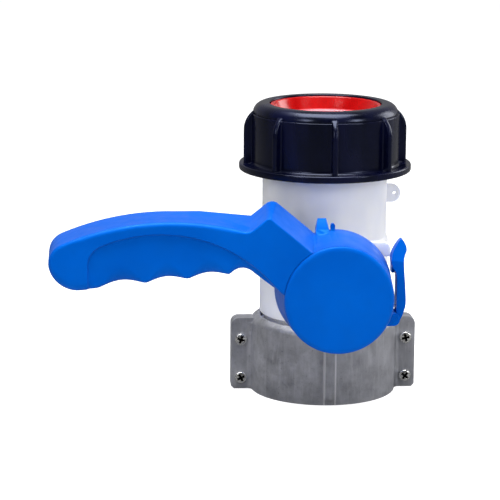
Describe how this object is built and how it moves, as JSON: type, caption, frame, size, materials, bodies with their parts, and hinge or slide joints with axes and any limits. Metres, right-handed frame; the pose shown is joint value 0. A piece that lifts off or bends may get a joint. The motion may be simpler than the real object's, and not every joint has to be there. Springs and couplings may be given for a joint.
{
  "type": "tank valve",
  "caption": "Plastic butterfly valve for a tank outlet, with a two-half screw clamp at its foot, a side lever with a sprung latch, and a ribbed screw cap with a dished plug.",
  "frame": {"origin": "centre of the clamp's lower mouth, on the pipe axis, in the plane that the clamp's foot stands on", "axes": "+Z along the pipe towards the outlet and its cap; the lever turns about a line along Y on the -Y side, and points to -X when the valve is shut"},
  "size_m": [0.1652, 0.1061, 0.131],
  "materials": {
    "milky_polyethylene": "translucent moulded",
    "white_nylon": "moulded",
    "seal_rubber": "matt",
    "cast_aluminium": "as cast",
    "plated_steel": "bright plated",
    "blue_polypropylene": "satin moulded",
    "red_polypropylene": "gloss moulded",
    "black_polypropylene": "gloss moulded"
  },
  "bodies": {
    "housing": {"valve_body": "milky_polyethylene", "inlet_gasket": "seal_rubber", "clamp_front": "cast_aluminium", "clamp_rear": "cast_aluminium", "clamp_screws": "plated_steel", "clamp_nuts": "plated_steel"},
    "lever": {"stem": "white_nylon", "stem_o_rings": "seal_rubber", "thrust_washer": "white_nylon", "stem_circlip": "plated_steel", "disc": "white_nylon", "disc_pin": "plated_steel", "disc_seal": "seal_rubber", "handle": "blue_polypropylene", "handle_washer": "plated_steel", "handle_screw": "plated_steel", "hub_cover": "blue_polypropylene"},
    "latch": {"lock_latch": "blue_polypropylene"},
    "plug": {"cap_gasket": "seal_rubber", "cap_plug": "red_polypropylene"},
    "nut": {"cap_nut": "black_polypropylene"}
  },
  "joints": [
    {"name": "lever_turn", "type": "hinge", "parent": "housing", "child": "lever", "pos_m": [0, 0, 0.056], "axis": [0, 1, 0], "range_deg": [0, 90]},
    {"name": "latch_press", "type": "hinge", "parent": "lever", "child": "latch", "pos_m": [0.0252, 0, 0.0438], "axis": [0, 1, 0], "range_deg": [0, 8], "stiffness_Nm_per_rad": 0.05},
    {"name": "cap_lift", "type": "slide", "parent": "housing", "child": "plug", "axis": [0, 0, 1], "range_m": [0, 0.03]},
    {"name": "nut_turn", "type": "hinge", "parent": "plug", "child": "nut", "pos_m": [0, 0, 0.116], "axis": [0, 0, 1], "range_deg": [0, 1800]}
  ],
  "couplings": [
    {"joint": "cap_lift", "follows": "nut_turn", "m_per_rad": 0.00095492}
  ]
}
